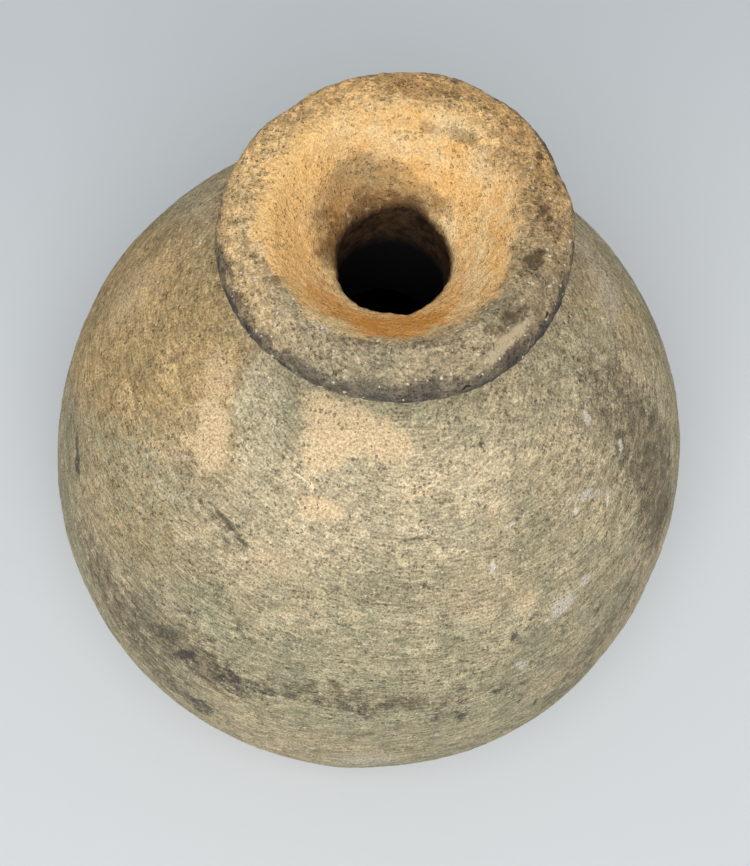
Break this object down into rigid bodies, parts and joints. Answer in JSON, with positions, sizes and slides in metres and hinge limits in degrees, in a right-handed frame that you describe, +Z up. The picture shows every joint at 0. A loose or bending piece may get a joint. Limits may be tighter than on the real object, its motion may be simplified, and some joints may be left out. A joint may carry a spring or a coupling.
{
  "type": "pottery bottle",
  "caption": "Round-bellied hand-built clay bottle with a short neck, a funnel mouth with a thick rounded lip, and a small flattened base.",
  "frame": {"origin": "centre of the flat spot that the bottle stands on", "axes": "+Z up the bottle's axis, out of its mouth; the body is round, so X and Y are free"},
  "size_m": [0.15, 0.15, 0.1879],
  "materials": {
    "body_clay": "matt fired earthenware, hand smoothed",
    "mouth_clay": "matt fired earthenware, ochre surface",
    "lip_clay": "matt fired earthenware, worn and gritty"
  },
  "bodies": {
    "root": {"base_bowl": "body_clay", "lower_wall": "body_clay", "belly_wall": "body_clay", "upper_wall": "body_clay", "shoulder_wall": "body_clay", "shoulder_cap": "body_clay", "neck_coil": "body_clay", "neck_tube": "body_clay", "mouth_flare": "mouth_clay", "lip_coil": "lip_clay"}
  },
  "joints": []
}
